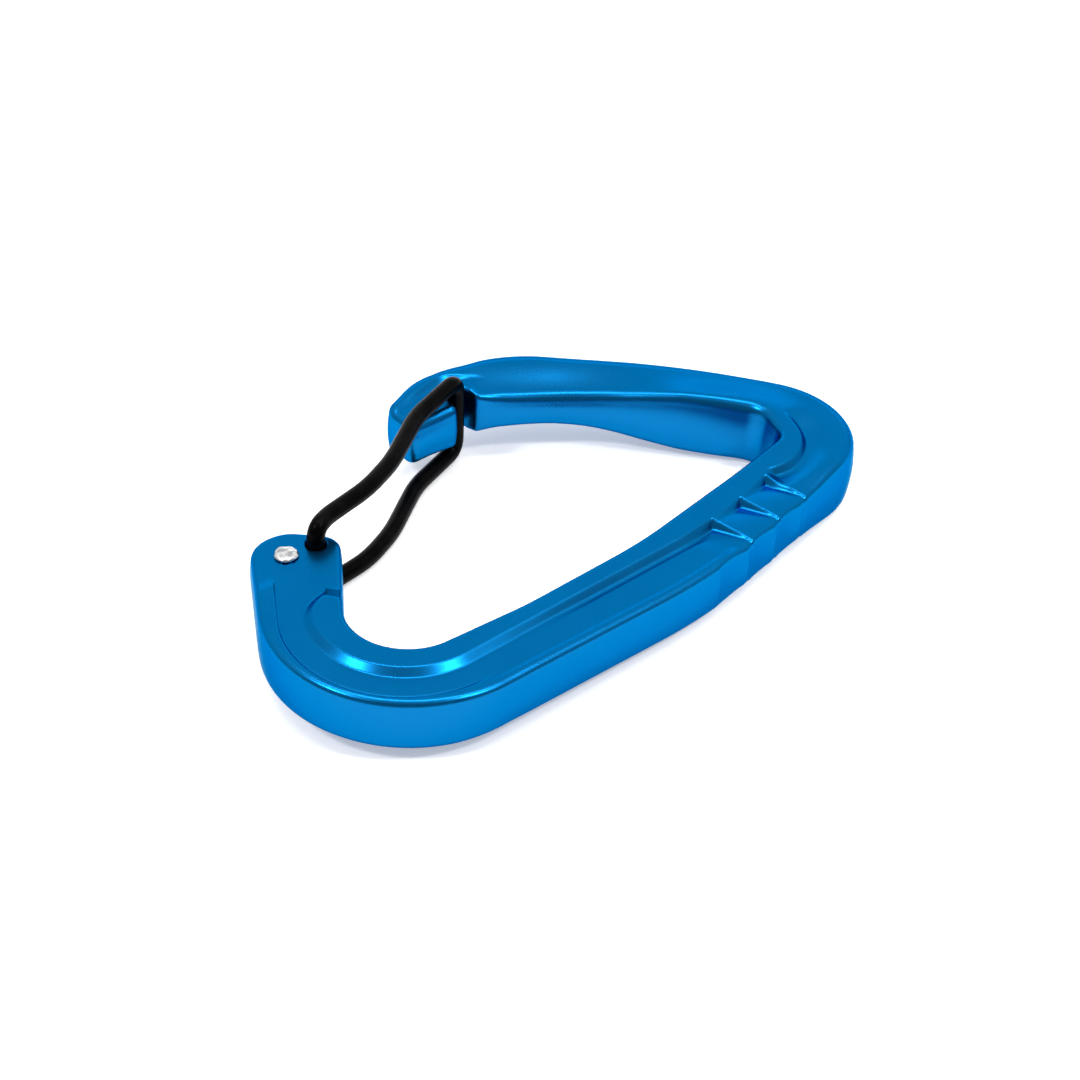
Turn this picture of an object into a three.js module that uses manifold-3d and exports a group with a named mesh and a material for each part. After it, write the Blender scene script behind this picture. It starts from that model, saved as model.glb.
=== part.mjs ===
// Wire-gate carabiner: one forged aluminium body and one bent spring-wire gate.
// Millimetres. +X runs along the spine to the basket end, +Y from the spine to the gate side,
// +Z is the thickness. The origin is the middle of the bounding box's underside, so the body's
// mid-plane sits half a gate height up.
import * as THREE from 'three';
import { mergeVertices } from 'three/addons/utils/BufferGeometryUtils.js';
import Module from 'manifold-3d';

const manifold = await Module();
manifold.setup();

// Driving dimensions.
const BODY_THICKNESS = 9.1;        // forging, over the raised inner rim
const SEAT_THICKNESS = 10.5;       // rope seat in the basket corner
const BAR_THICKNESS = 8.8;         // top bar
const BAR_EDGE_THICKNESS = 6.2;    // rope side of the top bar
const EDGE_BEVEL = 0.8;            // bevel on every edge of the forging
const NOSE_THICKNESS = 7.3;        // nose hook, between the gate's legs
const STEP_DEPTH = 0.9;            // how far the hinge eye and the spine panel lie below the rim
const WIRE_DIAMETER = 2.5;
const LEG_SPACING = 12.3;          // between the centres of the upper and lower gate legs
const NOSE_BEND = 2.3;             // tangent length of the bends at the crosspiece
const LEG_SWEEP_BEND = 2.6;        // tangent length of the gentle bends along a leg
const FIT_GAP = 0.3;               // clearance of a wire end in its hole and under its head
const HEAD_DIAMETER = 3.3;         // peened head on each wire end
const HEAD_HEIGHT = 0.75;
const HEAD_PROFILE = [             // shares of the head's radius and height
  [0, 0], [0.92, 0], [1, 0.3], [0.8, 0.75], [0.45, 1], [0, 1],
];
const TOOTH_PITCH = [6.35, 1.65];  // from one thumb ridge to the next, along X and Y
const TOOTH_COUNT = 3;
const RIDGE_REACH = 14;            // length of a ridge pocket, past the outer edge
const PLAN_CENTRE = [0.35, 0.35];   // middle of the plan outline, moved to the origin at the end

const WIRE_RADIUS = WIRE_DIAMETER / 2;
const GATE_HEIGHT = LEG_SPACING + WIRE_DIAMETER;
const MID_Z = GATE_HEIGHT / 2;
const TOP_LEG_Z = MID_Z + LEG_SPACING / 2;
const LOW_LEG_Z = MID_Z - LEG_SPACING / 2;
const EYE_TOP_Z = MID_Z + BODY_THICKNESS / 2 - STEP_DEPTH;
const EYE_LOW_Z = MID_Z - BODY_THICKNESS / 2 + STEP_DEPTH;

// The two hinge holes. Their offset is what makes the wire spring shut.
const UPPER_HOLE = [-31.1, 6.9];
const LOWER_HOLE = [-35.7, 7.1];
const HOLE_RADIUS = WIRE_RADIUS + FIT_GAP;

// Plan of the forging, as corners [x, y, corner radius]: outer side, nose hook, inner side.
const OUTER_SIDE = [
  [-27.2, 6.5, 3.0], [-32.8, 12.0, 5.0], [-38.3, 12.4, 5.0],
  [-62.4, -30.7, 19.8], [8.0, -29.65, 90.0], [57.8, -18.4, 14.3],
  [37.4, 12.8, 90.0], [12.4, 34.5, 23.0], [-5.4, 27.3, 3.2],
];
const NOSE_HOOK = [
  [-5.3, 20.5, 1.8], [3.9, 20.9, 1.2], [3.9, 25.6, 1.2], [7.4, 25.6, 1.2], [7.8, 22.1, 1.2],
];
const INNER_SIDE = [
  [20.5, 14.3, 40.0], [37.4, -6.5, 3.6], [35.8, -12.2, 2.6], [21.0, -15.3, 50.0],
  [3.5, -18.55, 80.0], [-17.0, -19.7, 60.0], [-44.3, -18.9, 8.1],
];

// Area outside the raised inner rim, from the hinge eye round to the first thumb ridge.
const RIM_CORNER = [-64.5, -24.5, 12.0];
const FIRST_RIDGE_TOP = [14.9, -21.2];
const FIRST_RIDGE_TIP = [17.3, -28.8];
const LOWERED_AREA = [
  [-35.3, -5.7, 0], [-36.4, -2.8, 0], RIM_CORNER, [...FIRST_RIDGE_TOP, 0],
  [...FIRST_RIDGE_TIP, 0], [17.3, -36.0, 0], [-60.0, -36.0, 0], [-60.0, 20.0, 0],
  [-20.0, 20.0, 0], [-20.0, 0.0, 0],
];
// Areas with a thickness of their own.
const SEAT_AREA = [
  [26.5, -11.0, 0], [27.2, -18.0, 1.0], [41.2, -18.6, 8.0], [39.6, 0.0, 12.0],
  [29.5, 11.5, 2.0], [24.5, 6.5, 0],
];
const BAR_AREA = [
  [31.5, 22.0, 0], [26.5, 3.0, 0], [-9.0, 14.0, 0], [-9.0, 36.0, 0], [31.5, 36.0, 0],
];
const BAR_EDGE_AREA = [
  [5.0, 21.5, 0], [20.0, 11.5, 0], [26.3, 5.0, 0], [28.4, 8.6, 0], [21.6, 16.4, 30.0],
  [9.6, 24.6, 1.0], [5.0, 24.6, 0],
];
const NOSE_AREA = [
  [-8.0, 24.4, 0], [6.3, 28.4, 3.0], [11.3, 25.6, 1.5], [9.7, 18.0, 0], [-8.0, 18.0, 0],
];

// Control corners of a gate leg in plan, from its hole to the crosspiece.
const LEG_MIDDLE = [[-20.3, 10.2], [-14.2, 13.1], [-4.9, 19.9]];
const UPPER_LEG_START = [[-28.3, 8.3]];
const LOWER_LEG_START = [[-33.4, 9.4], [-27.9, 9.0]];
const CROSSPIECE = [5.35, 23.9];
// Tangent lengths of the remaining bends: over a hole, beside it, and at the lower elbow.
const HOLE_BEND = 1.75;
const UPPER_START_BEND = 1.3;
const LOWER_START_BEND = 1.1;
const ELBOW_BEND = 1.4;

// Arc resolution in plan, and along and round the wire.
const ARC_STEP = THREE.MathUtils.degToRad(7);
const WIRE_STEP = 0.75;
const WIRE_SIDES = 12;

const anodised = new THREE.MeshStandardMaterial({ color: 0x0068ad, metalness: 0.9, roughness: 0.3 });
const blackWire = new THREE.MeshStandardMaterial({ color: 0x0b0b0d, metalness: 0.4, roughness: 0.3 });
const bareSteel = new THREE.MeshStandardMaterial({ color: 0xb9bbbd, metalness: 1.0, roughness: 0.35 });

// Points of a closed outline whose corners are rounded with arcs.
function roundedOutline(corners) {
  const points = [];
  corners.forEach(([x, y, radius], index) => {
    const corner = new THREE.Vector2(x, y);
    if (radius === 0) {
      points.push(corner);
      return;
    }
    const before = corners.at(index - 1);
    const after = corners[(index + 1) % corners.length];
    const toBefore = new THREE.Vector2(before[0] - x, before[1] - y).normalize();
    const toAfter = new THREE.Vector2(after[0] - x, after[1] - y).normalize();
    const halfAngle = Math.acos(toBefore.dot(toAfter)) / 2;
    const tangent = radius / Math.tan(halfAngle);
    const inward = toBefore.clone().add(toAfter).normalize();
    const centre = corner.clone().addScaledVector(inward, radius / Math.sin(halfAngle));
    const start = corner.clone().addScaledVector(toBefore, tangent).sub(centre);
    const end = corner.clone().addScaledVector(toAfter, tangent).sub(centre);
    const turn = Math.atan2(start.cross(end), start.dot(end));
    const steps = Math.max(2, Math.ceil(Math.abs(turn) / ARC_STEP));
    for (let i = 0; i <= steps; i += 1) {
      const angle = start.angle() + turn * (i / steps);
      const spoke = new THREE.Vector2(Math.cos(angle), Math.sin(angle)).multiplyScalar(radius);
      points.push(spoke.add(centre));
    }
  });
  return points;
}

// Turns a closed geometry into a manifold solid, keeping only its positions.
function toSolid(geometry) {
  const plain = geometry.clone();
  plain.deleteAttribute('normal');
  plain.deleteAttribute('uv');
  const merged = mergeVertices(plain, 1e-4);
  return new manifold.Manifold(new manifold.Mesh({
    numProp: 3,
    vertProperties: new Float32Array(merged.attributes.position.array),
    triVerts: new Uint32Array(merged.index.array),
  }));
}

// Turns a manifold solid back into a geometry.
function toGeometry(solid) {
  const mesh = solid.getMesh();
  const geometry = new THREE.BufferGeometry();
  geometry.setAttribute('position', new THREE.BufferAttribute(mesh.vertProperties, 3));
  geometry.setIndex(new THREE.BufferAttribute(mesh.triVerts, 1));
  geometry.computeVertexNormals();
  return geometry;
}

// Flat prism of an outline between two heights.
function prism(outline, zLow, zHigh) {
  const options = { depth: zHigh - zLow, bevelEnabled: false };
  const geometry = new THREE.ExtrudeGeometry(new THREE.Shape(outline), options);
  geometry.translate(0, 0, zLow);
  return toSolid(geometry);
}

// Everything over an area that lies further than a level from the mid-plane, on both faces.
function bothFaces(outline, level) {
  const top = prism(outline, MID_Z + level, MID_Z + SEAT_THICKNESS);
  return top.add(prism(outline, MID_Z - SEAT_THICKNESS, MID_Z - level));
}

// A round rod along Z.
function rod([x, y], radius, zLow, zHigh) {
  const geometry = new THREE.CylinderGeometry(radius, radius, zHigh - zLow, 2 * WIRE_SIDES);
  geometry.rotateX(Math.PI / 2);
  geometry.translate(x, y, (zLow + zHigh) / 2);
  return toSolid(geometry);
}

// Solid over a convex set of points.
function hull(points) {
  return manifold.Manifold.hull(points.map((point) => point.toArray()));
}

// Sawtooth pocket between one ridge's crest and the foot of the next, in both faces.
function ridgePocket(index) {
  const crest = new THREE.Vector2(
    FIRST_RIDGE_TOP[0] + index * TOOTH_PITCH[0],
    FIRST_RIDGE_TOP[1] + index * TOOTH_PITCH[1],
  );
  const pitch = new THREE.Vector2(...TOOTH_PITCH);
  const along = new THREE.Vector2(
    FIRST_RIDGE_TIP[0] - FIRST_RIDGE_TOP[0],
    FIRST_RIDGE_TIP[1] - FIRST_RIDGE_TOP[1],
  ).setLength(RIDGE_REACH);
  const half = BODY_THICKNESS / 2;
  const cuts = [1, -1].map((side) => {
    const points = [];
    for (const start of [crest, crest.clone().add(along)]) {
      const foot = start.clone().add(pitch);
      points.push(new THREE.Vector3(start.x, start.y, MID_Z + side * half));
      points.push(new THREE.Vector3(foot.x, foot.y, MID_Z + side * (half - STEP_DEPTH)));
      points.push(new THREE.Vector3(foot.x, foot.y, MID_Z + side * (half + STEP_DEPTH)));
      points.push(new THREE.Vector3(start.x, start.y, MID_Z + side * (half + STEP_DEPTH)));
    }
    return hull(points);
  });
  return cuts[0].add(cuts[1]);
}

// The whole plan with bevelled edges, at one thickness.
function blank(thickness) {
  const plan = new THREE.Shape(roundedOutline([...OUTER_SIDE, ...NOSE_HOOK, ...INNER_SIDE]));
  const geometry = new THREE.ExtrudeGeometry(plan, {
    depth: thickness - 2 * EDGE_BEVEL,
    bevelThickness: EDGE_BEVEL,
    bevelSize: EDGE_BEVEL,
    bevelOffset: -EDGE_BEVEL,
    bevelSegments: 2,
  });
  geometry.translate(0, 0, MID_Z - thickness / 2 + EDGE_BEVEL);
  return toSolid(geometry);
}

function forgedBody() {
  const seatColumn = prism(roundedOutline(SEAT_AREA), 0, GATE_HEIGHT);
  const barColumn = prism(roundedOutline(BAR_AREA), 0, GATE_HEIGHT);
  let body = blank(BODY_THICKNESS).subtract(barColumn).add(blank(BAR_THICKNESS));
  body = body.subtract(bothFaces(roundedOutline(LOWERED_AREA), BODY_THICKNESS / 2 - STEP_DEPTH));
  body = body.subtract(bothFaces(roundedOutline(BAR_EDGE_AREA), BAR_EDGE_THICKNESS / 2));
  body = body.subtract(bothFaces(roundedOutline(NOSE_AREA), NOSE_THICKNESS / 2));
  for (let index = 0; index < TOOTH_COUNT - 1; index += 1) {
    body = body.subtract(ridgePocket(index));
  }
  body = body.add(blank(SEAT_THICKNESS).intersect(seatColumn));
  for (const hole of [UPPER_HOLE, LOWER_HOLE]) {
    body = body.subtract(rod(hole, HOLE_RADIUS, 0, GATE_HEIGHT));
  }
  return toGeometry(body);
}

// A route through corners, each one rounded with a quadratic curve.
function bentPath(corners) {
  const path = new THREE.CurvePath();
  let from = new THREE.Vector3(...corners[0].slice(0, 3));
  for (let i = 1; i < corners.length - 1; i += 1) {
    const corner = new THREE.Vector3(...corners[i].slice(0, 3));
    const next = new THREE.Vector3(...corners[i + 1].slice(0, 3));
    const bend = corners[i][3];
    const entry = corner.clone().addScaledVector(from.clone().sub(corner).normalize(), bend);
    const exit = corner.clone().addScaledVector(next.sub(corner).normalize(), bend);
    path.add(new THREE.LineCurve3(from, entry));
    path.add(new THREE.QuadraticBezierCurve3(entry, corner, exit));
    from = exit;
  }
  path.add(new THREE.LineCurve3(from, new THREE.Vector3(...corners.at(-1).slice(0, 3))));
  return path;
}

function wireTube(path) {
  const corners = Array.from({ length: WIRE_SIDES }, (_, index) => {
    const angle = (index / WIRE_SIDES) * 2 * Math.PI;
    return new THREE.Vector2(WIRE_RADIUS * Math.cos(angle), WIRE_RADIUS * Math.sin(angle));
  });
  const section = new THREE.Shape(corners);
  const steps = Math.ceil(path.getLength() / WIRE_STEP);
  const options = { steps, extrudePath: path };
  return toSolid(new THREE.ExtrudeGeometry(section, options));
}

// Peened head: a low dome, its flat side towards the forging.
function peenedHead([x, y], zFace, side) {
  const profile = HEAD_PROFILE.map(([across, up]) => (
    new THREE.Vector2(across * HEAD_DIAMETER / 2, up * HEAD_HEIGHT)
  ));
  const geometry = new THREE.LatheGeometry(profile, 2 * WIRE_SIDES);
  geometry.rotateX(side * Math.PI / 2);
  geometry.translate(x, y, zFace);
  return toSolid(geometry);
}

// The wire loop: from the head under the upper hole, up through it, along the upper leg, down
// the crosspiece in the nose notch and back along the lower leg to the elbow under its hole.
function gateWire() {
  const headZ = EYE_LOW_Z - FIT_GAP;
  const elbowZ = EYE_LOW_Z - FIT_GAP / 2;
  const legs = (points, z, bend) => points.map((point) => [...point, z, bend]);
  const corners = [
    [...UPPER_HOLE, headZ - HEAD_HEIGHT / 2],
    [...UPPER_HOLE, TOP_LEG_Z, HOLE_BEND],
    ...legs(UPPER_LEG_START, TOP_LEG_Z, UPPER_START_BEND),
    ...legs(LEG_MIDDLE, TOP_LEG_Z, LEG_SWEEP_BEND),
    [...CROSSPIECE, TOP_LEG_Z, NOSE_BEND],
    [...CROSSPIECE, LOW_LEG_Z, NOSE_BEND],
    ...legs([...LEG_MIDDLE].reverse(), LOW_LEG_Z, LEG_SWEEP_BEND),
    ...legs([...LOWER_LEG_START].reverse(), LOW_LEG_Z, LOWER_START_BEND),
    [...LOWER_HOLE, LOW_LEG_Z, ELBOW_BEND],
    [...LOWER_HOLE, elbowZ],
  ];
  const wire = wireTube(bentPath(corners));
  return toGeometry(wire.add(peenedHead(UPPER_HOLE, headZ, -1)));
}

// The wire's other end: it stands in the lower hole and is peened over on the upper face.
function gateLowerEnd() {
  const headZ = EYE_TOP_Z + FIT_GAP;
  const stub = rod(LOWER_HOLE, WIRE_RADIUS, EYE_LOW_Z + FIT_GAP / 2, headZ + HEAD_HEIGHT / 2);
  return toGeometry(stub.add(peenedHead(LOWER_HOLE, headZ, 1)));
}

function namedMesh(name, geometry, material) {
  const mesh = new THREE.Mesh(geometry, material);
  mesh.name = name;
  return mesh;
}

const carabiner = new THREE.Group();
carabiner.add(namedMesh('forged_body', forgedBody(), anodised));
carabiner.add(namedMesh('gate_wire', gateWire(), blackWire));
carabiner.add(namedMesh('gate_lower_end', gateLowerEnd(), bareSteel));
carabiner.position.set(-PLAN_CENTRE[0], -PLAN_CENTRE[1], 0);

export default carabiner;
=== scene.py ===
"""Wire-gate carabiner: forged anodised body, black spring-wire gate and its peened ends.

Plan shapes are drawn in millimetres in the CAD drawing's own axes: +X along the spine to the
basket end, +Y to the gate side, Z up from the body's mid-plane. to_row() turns them into the
row frame in metres.
"""
import math

import bpy
import numpy as np
from mathutils import Matrix, Vector

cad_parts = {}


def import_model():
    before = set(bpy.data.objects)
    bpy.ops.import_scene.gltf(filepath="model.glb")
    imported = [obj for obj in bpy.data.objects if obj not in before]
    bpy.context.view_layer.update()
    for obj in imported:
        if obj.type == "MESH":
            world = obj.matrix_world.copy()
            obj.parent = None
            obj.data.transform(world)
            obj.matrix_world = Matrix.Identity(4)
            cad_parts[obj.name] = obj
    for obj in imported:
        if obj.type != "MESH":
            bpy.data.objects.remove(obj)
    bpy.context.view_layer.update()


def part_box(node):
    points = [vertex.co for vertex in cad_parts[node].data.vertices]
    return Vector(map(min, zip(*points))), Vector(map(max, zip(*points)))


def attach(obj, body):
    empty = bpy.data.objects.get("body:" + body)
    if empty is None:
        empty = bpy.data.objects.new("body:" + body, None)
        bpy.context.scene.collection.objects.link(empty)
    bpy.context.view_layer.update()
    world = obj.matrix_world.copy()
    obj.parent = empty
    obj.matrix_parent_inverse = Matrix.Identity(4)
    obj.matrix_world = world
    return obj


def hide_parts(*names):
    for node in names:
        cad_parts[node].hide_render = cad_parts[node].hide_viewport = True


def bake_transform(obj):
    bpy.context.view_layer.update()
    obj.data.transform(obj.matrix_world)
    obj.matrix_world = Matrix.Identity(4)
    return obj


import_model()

MM = 0.001
PLAN_CENTRE = np.array([0.35, 0.35])     # drawing point that stands over the row frame's origin
body_low, body_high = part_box("forged_body")
wire_low, wire_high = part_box("gate_wire")
MID_Z = (body_low.z + body_high.z) / 2 / MM
GATE_HEIGHT = (wire_high.z - wire_low.z) / MM

# ---------------------------------------------------------------- plan of the forging

HALF_THICKNESS = 4.55     # inner rim above the mid-plane
STEP_DEPTH = 0.9          # hinge eye and spine panel lie this far below the inner rim
RIDGE_DEPTH = 1.35        # height of a thumb ridge's face at its inner end
OUTER_RIM_HEIGHT = 0.30   # low outer rim round the bend
GROOVE_DEPTH = 0.14       # fine groove inside that rim
NOSE_LEVEL = 3.6          # face of the nose hook above the mid-plane
LIP_HEIGHT = 0.16         # lip along the outer edge of the spine panel
LIP_WIDTH = 2.0
LIP_SLOPE = 0.5
OUTER_RIM_SLOPE = 0.3
GROOVE_WIDTH = 0.24
CHANNEL_PLACE = 1.35      # distance of the channel from the rim line
CHANNEL_WIDTH = 0.5
CHANNEL_DEPTH = 0.14      # shallow channel beside the inner rim along the spine
CRESCENT_DEPTH = 0.95     # step at the edge of the rope seat's pad
SEAT_REACH = 8.5          # how far across the raised seat fades out
BAR_REACH = 7.5           # the same for the thin top bar
NOSE_TIP_DROP = 0.45      # how far the nose falls away toward its tip
BAR_LEVEL = 4.4           # top bar, at its outer side
WIRE_RADIUS = 1.25
HOLE_RADIUS = 1.38
UPPER_HOLE = np.array([-31.1, 6.9])
LOWER_HOLE = np.array([-35.7, 7.1])

# Corners [x, y, corner radius] at the mid-plane.
OUTER_SIDE = [
    [-32.8, 12.0, 5.0], [-38.3, 12.4, 5.0], [-62.4, -30.7, 19.8], [8.0, -29.65, 90.0],
    [57.8, -18.4, 14.3], [37.4, 12.8, 90.0], [12.4, 34.5, 23.0], [-5.4, 27.3, 3.2],
]
NOSE_HOOK = [[-5.3, 20.5, 1.8], [3.9, 20.9, 1.2], [3.9, 25.6, 1.2], [7.4, 25.6, 1.2]]
INNER_SIDE = [
    [7.8, 22.1, 1.2], [20.5, 14.3, 40.0], [37.4, -6.5, 3.6], [35.8, -12.2, 2.6],
    [21.0, -15.3, 50.0], [3.5, -18.55, 80.0], [-17.0, -19.7, 60.0], [-44.3, -18.9, 8.1],
    [-27.2, 6.5, 3.0],
]

# Pairs of plan points near the outer and the inner side that one cross-section joins.
CHORDS = [
    [(-45.6, -0.8), (-36.0, -6.8), 0.4], [(-28.3, -30.3), (-29.5, -19.1), 0.4],
    [(1.5, -29.7), (-0.5, -18.9), 0.45], [(11.25, -29.4), (7.6, -18.2), 0.4],
    [(17.6, -27.9), (13.9, -16.9), 0.13], [(23.95, -26.3), (20.3, -15.4), 0.12],
    [(30.3, -24.7), (26.6, -14.1), 0.12], [(38.5, -22.6), (32.4, -12.9), 0.13],
    [(46.5, -16.0), (35.6, -10.4), 0.3], [(48.9, -8.0), (36.3, -7.4), 0.4],
    [(46.0, 1.0), (34.4, -2.8), 0.4], [(38.0, 12.5), (28.4, 4.6), 0.4],
    [(27.0, 21.6), (20.4, 13.8), 0.4], [(17.5, 28.0), (13.0, 18.7), 0.4],
    [(12.0, 30.6), (9.0, 21.5), 0.3], [(9.0, 30.6), (7.4, 24.6), 0.2],
    [(3.9, 29.6), (3.9, 24.9), 0.2], [(0.4, 28.7), (3.6, 20.9), 0.2],
]
LAST_CHORD_STEP = 0.25

# Edge rounding round the loop: [point near the outline, width, height, crown of the wall].
EDGE_KEYS = [
    [(-33.4, 12.0), 0.9, 0.9, 0.15], [(-42.0, 5.0), 0.9, 0.9, 0.15],
    [(-52.0, -20.0), 1.0, 1.0, 0.20], [(-35.0, -29.5), 1.0, 1.0, 0.20],
    [(0.0, -29.6), 0.9, 0.9, 0.20], [(22.0, -27.0), 0.9, 0.9, 0.20],
    [(40.0, -22.0), 1.2, 1.2, 0.25], [(48.5, -8.0), 2.6, 2.2, 0.25],
    [(44.0, 4.0), 3.6, 3.2, 0.10], [(30.0, 18.0), 4.0, 3.6, 0.0],
    [(12.0, 30.0), 3.4, 2.8, 0.0], [(2.0, 29.4), 1.6, 1.4, 0.15],
    [(-6.0, 26.0), 1.2, 1.2, 0.20], [(-5.6, 23.0), 1.3, 1.4, 0.30],
    [(-4.5, 20.6), 1.4, 1.5, 0.35], [(-1.0, 20.6), 1.6, 1.5, 0.35],
    [(3.0, 20.9), 1.2, 1.2, 0.20], [(3.9, 23.4), 0.6, 0.7, 0.0],
    [(5.6, 25.6), 0.6, 0.7, 0.0], [(7.4, 23.8), 0.6, 0.7, 0.0],
    [(7.8, 22.0), 0.6, 0.7, 0.05], [(10.6, 20.4), 1.4, 1.3, 0.20],
    [(17.0, 16.5), 1.7, 1.4, 0.25], [(24.0, 10.0), 1.6, 1.4, 0.35],
    [(30.0, 2.5), 1.2, 1.4, 0.50], [(35.6, -4.6), 1.6, 1.8, 0.50],
    [(36.0, -9.0), 1.2, 1.4, 0.40], [(30.0, -13.4), 1.0, 1.2, 0.35],
    [(20.0, -15.5), 0.9, 0.9, 0.20], [(-17.0, -19.5), 0.8, 0.8, 0.15],
    [(-37.0, -14.0), 0.8, 0.8, 0.15], [(-34.0, -4.0), 0.8, 0.8, 0.15],
    [(-28.5, 5.0), 0.8, 0.8, 0.15],
]

# Level of the inner edge above the mid-plane: the rope seat is thick, the top bar thin.
INNER_LEVEL_KEYS = [
    [(-28.5, 5.0), 4.55], [(22.0, -15.0), 4.55], [(26.5, -14.1), 4.6], [(31.0, -13.1), 4.8],
    [(34.8, -11.6), 5.05], [(36.2, -7.5), 5.25], [(33.0, -1.0), 5.3], [(30.0, 2.7), 5.05],
    [(26.9, 6.6), 4.35], [(24.2, 9.7), 3.65], [(21.2, 12.9), 3.05], [(17.6, 16.0), 2.75],
    [(13.5, 18.6), 2.8], [(9.8, 20.9), 3.05], [(7.5, 22.6), 3.3], [(7.4, 24.8), 3.8],
    [(-5.0, 21.0), 3.8],
]

# Raised inner rim: its outer line from the hinge end to the first thumb ridge.
RIM_LINE = [[-34.6, 0.4, 0], [-64.5, -24.5, 12.0], [14.9, -21.2, 60.0], [34.0, -16.2, 0]]
RIM_END = np.array([-36.35, -4.2])
RIM_END_NORMAL = np.array([0.776, 0.630])
RIM_END_RAMP = 2.6
RIM_END_TUCK = 1.4        # how far the line turns in at its hinge end
RIM_TUCK_LENGTH = 5.5
RIM_SLOPE = 1.12          # plan width of the rim's slope round the bend
RIM_SLOPE_SHARPER = 0.25  # how much narrower it is along the spine
GROOVE_LINE = [[-38.8, 5.6, 0], [-58.2, -27.9, 16.0], [-10.0, -27.4, 0]]
RIDGE_PITCH = np.array([6.35, 1.65])
RIDGE_TOP = np.array([14.9, -21.2])
RIDGE_DIRECTION = np.array([0.316, -0.949])
RIDGE_COUNT = 3
RIDGE_WALL = 0.66         # plan width of a ridge's steep face for each unit of height
RIDGE_FADE = 9.0
SCALLOP_DEPTH = 0.28
NOSE_RECESS = [[-8.0, 24.7, 0], [5.9, 28.2, 4.0], [11.1, 25.4, 2.0], [9.3, 18.0, 0]]
CRESCENT_CENTRE = np.array([31.6, -9.6])
CRESCENT_RADIUS = 8.0
CRESCENT_WALL = 0.8       # plan width of the step, and of the gentle rise outside it
CRESCENT_RISE = 3.8
RECESS_WALL = 0.9
RIDGE_SIDE = 0.75         # plan width of the ridges' slope beside the rim
HINGE_ENDS = [(-39.0, 10.7), (-28.0, 6.6)]    # outer and inner end of the first cross-section
NOSE_ENDS = [(-4.6, 26.9), (-4.8, 20.9)]      # the same for the last one
OUTER_LINE_END = (-6.2, 25.5)
INNER_LINE_START = (7.5, 22.6)
FOOT_SHARE = 0.45         # share of the way across of the rim's foot and crest, where it has faded
CREST_SHARE = 0.70
FOOT_ROW = 0.52           # share of the rows that lie outside the foot and the crest
CREST_ROW = 0.76
HINGE_BLEND = 9.0         # length over which the patch bends to fit each end of the forging
NOSE_BLEND = 4.0

LATERAL_ROWS = 64
PROFILE_RINGS = 14
DENSE_STEP = 0.08
SHARP_ANGLE = math.radians(60)


def smooth(x):
    x = np.clip(x, 0.0, 1.0)
    return x * x * (3 - 2 * x)


def ramp(x, width, fillet):
    """Straight ramp from 0 at x = 0 to 1 at x = width, with a small fillet at both ends."""
    def bent(t):
        return np.where(t < -fillet, 0, np.where(t > fillet, t, (t + fillet) ** 2 / (4 * fillet)))
    return (bent(x) - bent(x - width)) / width


def rounded(corners, closed):
    """Dense polyline through corners with arcs of their radii."""
    points = []
    count = len(corners)
    for index, (x, y, radius) in enumerate(corners):
        corner = np.array([x, y])
        if radius == 0 or (not closed and index in (0, count - 1)):
            points.append(corner)
            continue
        to_before = np.array(corners[index - 1][:2]) - corner
        to_after = np.array(corners[(index + 1) % count][:2]) - corner
        to_before /= np.linalg.norm(to_before)
        to_after /= np.linalg.norm(to_after)
        half = math.acos(to_before @ to_after) / 2
        inward = (to_before + to_after) / np.linalg.norm(to_before + to_after)
        centre = corner + inward * radius / math.sin(half)
        start = corner + to_before * radius / math.tan(half) - centre
        end = corner + to_after * radius / math.tan(half) - centre
        turn = math.atan2(start[0] * end[1] - start[1] * end[0], start @ end)
        first = math.atan2(start[1], start[0])
        steps = max(4, int(abs(turn) * radius / DENSE_STEP))
        for angle in np.linspace(first, first + turn, steps + 1):
            points.append(centre + radius * np.array([math.cos(angle), math.sin(angle)]))
    if closed:
        points.append(points[0])
    return np.array(points)


def subdivided(line, step=DENSE_STEP):
    """The same polyline with points every step along it."""
    lengths = np.concatenate([[0], np.cumsum(np.linalg.norm(np.diff(line, axis=0), axis=1))])
    places = np.linspace(0, lengths[-1], int(lengths[-1] / step) + 1)
    return np.stack([np.interp(places, lengths, line[:, k]) for k in range(line.shape[1])], 1)


def blurred(values, sigma, wrap):
    """Gaussian blur along the first axis; sigma counts samples."""
    reach = int(4 * sigma) + 1
    kernel = np.exp(-0.5 * (np.arange(-reach, reach + 1) / sigma) ** 2)
    kernel /= kernel.sum()
    values = np.asarray(values, float)
    flat = values.reshape(len(values), -1)
    if wrap:
        before, after = flat[-reach:], flat[:reach]
    else:
        before, after = np.repeat(flat[:1], reach, 0), np.repeat(flat[-1:], reach, 0)
    padded = np.concatenate([before, flat, after])
    out = np.stack([np.convolve(padded[:, k], kernel, "valid") for k in range(flat.shape[1])], 1)
    return out.reshape(values.shape)


class Line:
    """A polyline with signed distances, positive to the right of its direction."""

    def __init__(self, points):
        self.points = points

    def signed(self, places):
        result = np.empty(len(places))
        for block in range(0, len(places), 4000):
            part = places[block:block + 4000]
            start = self.points[:-1]
            edge = self.points[1:] - start
            offset = part[:, None] - start
            along = np.clip((offset * edge).sum(-1) / (edge ** 2).sum(-1), 0, 1)
            gap = offset - along[..., None] * edge
            square = (gap ** 2).sum(-1)
            nearest = square.argmin(1)
            rows = np.arange(len(part))
            near_gap = gap[rows, nearest]
            near_edge = edge[nearest]
            side = near_edge[:, 1] * near_gap[:, 0] - near_edge[:, 0] * near_gap[:, 1]
            result[block:block + 4000] = np.sqrt(square[rows, nearest]) * np.sign(side)
        return result


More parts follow.
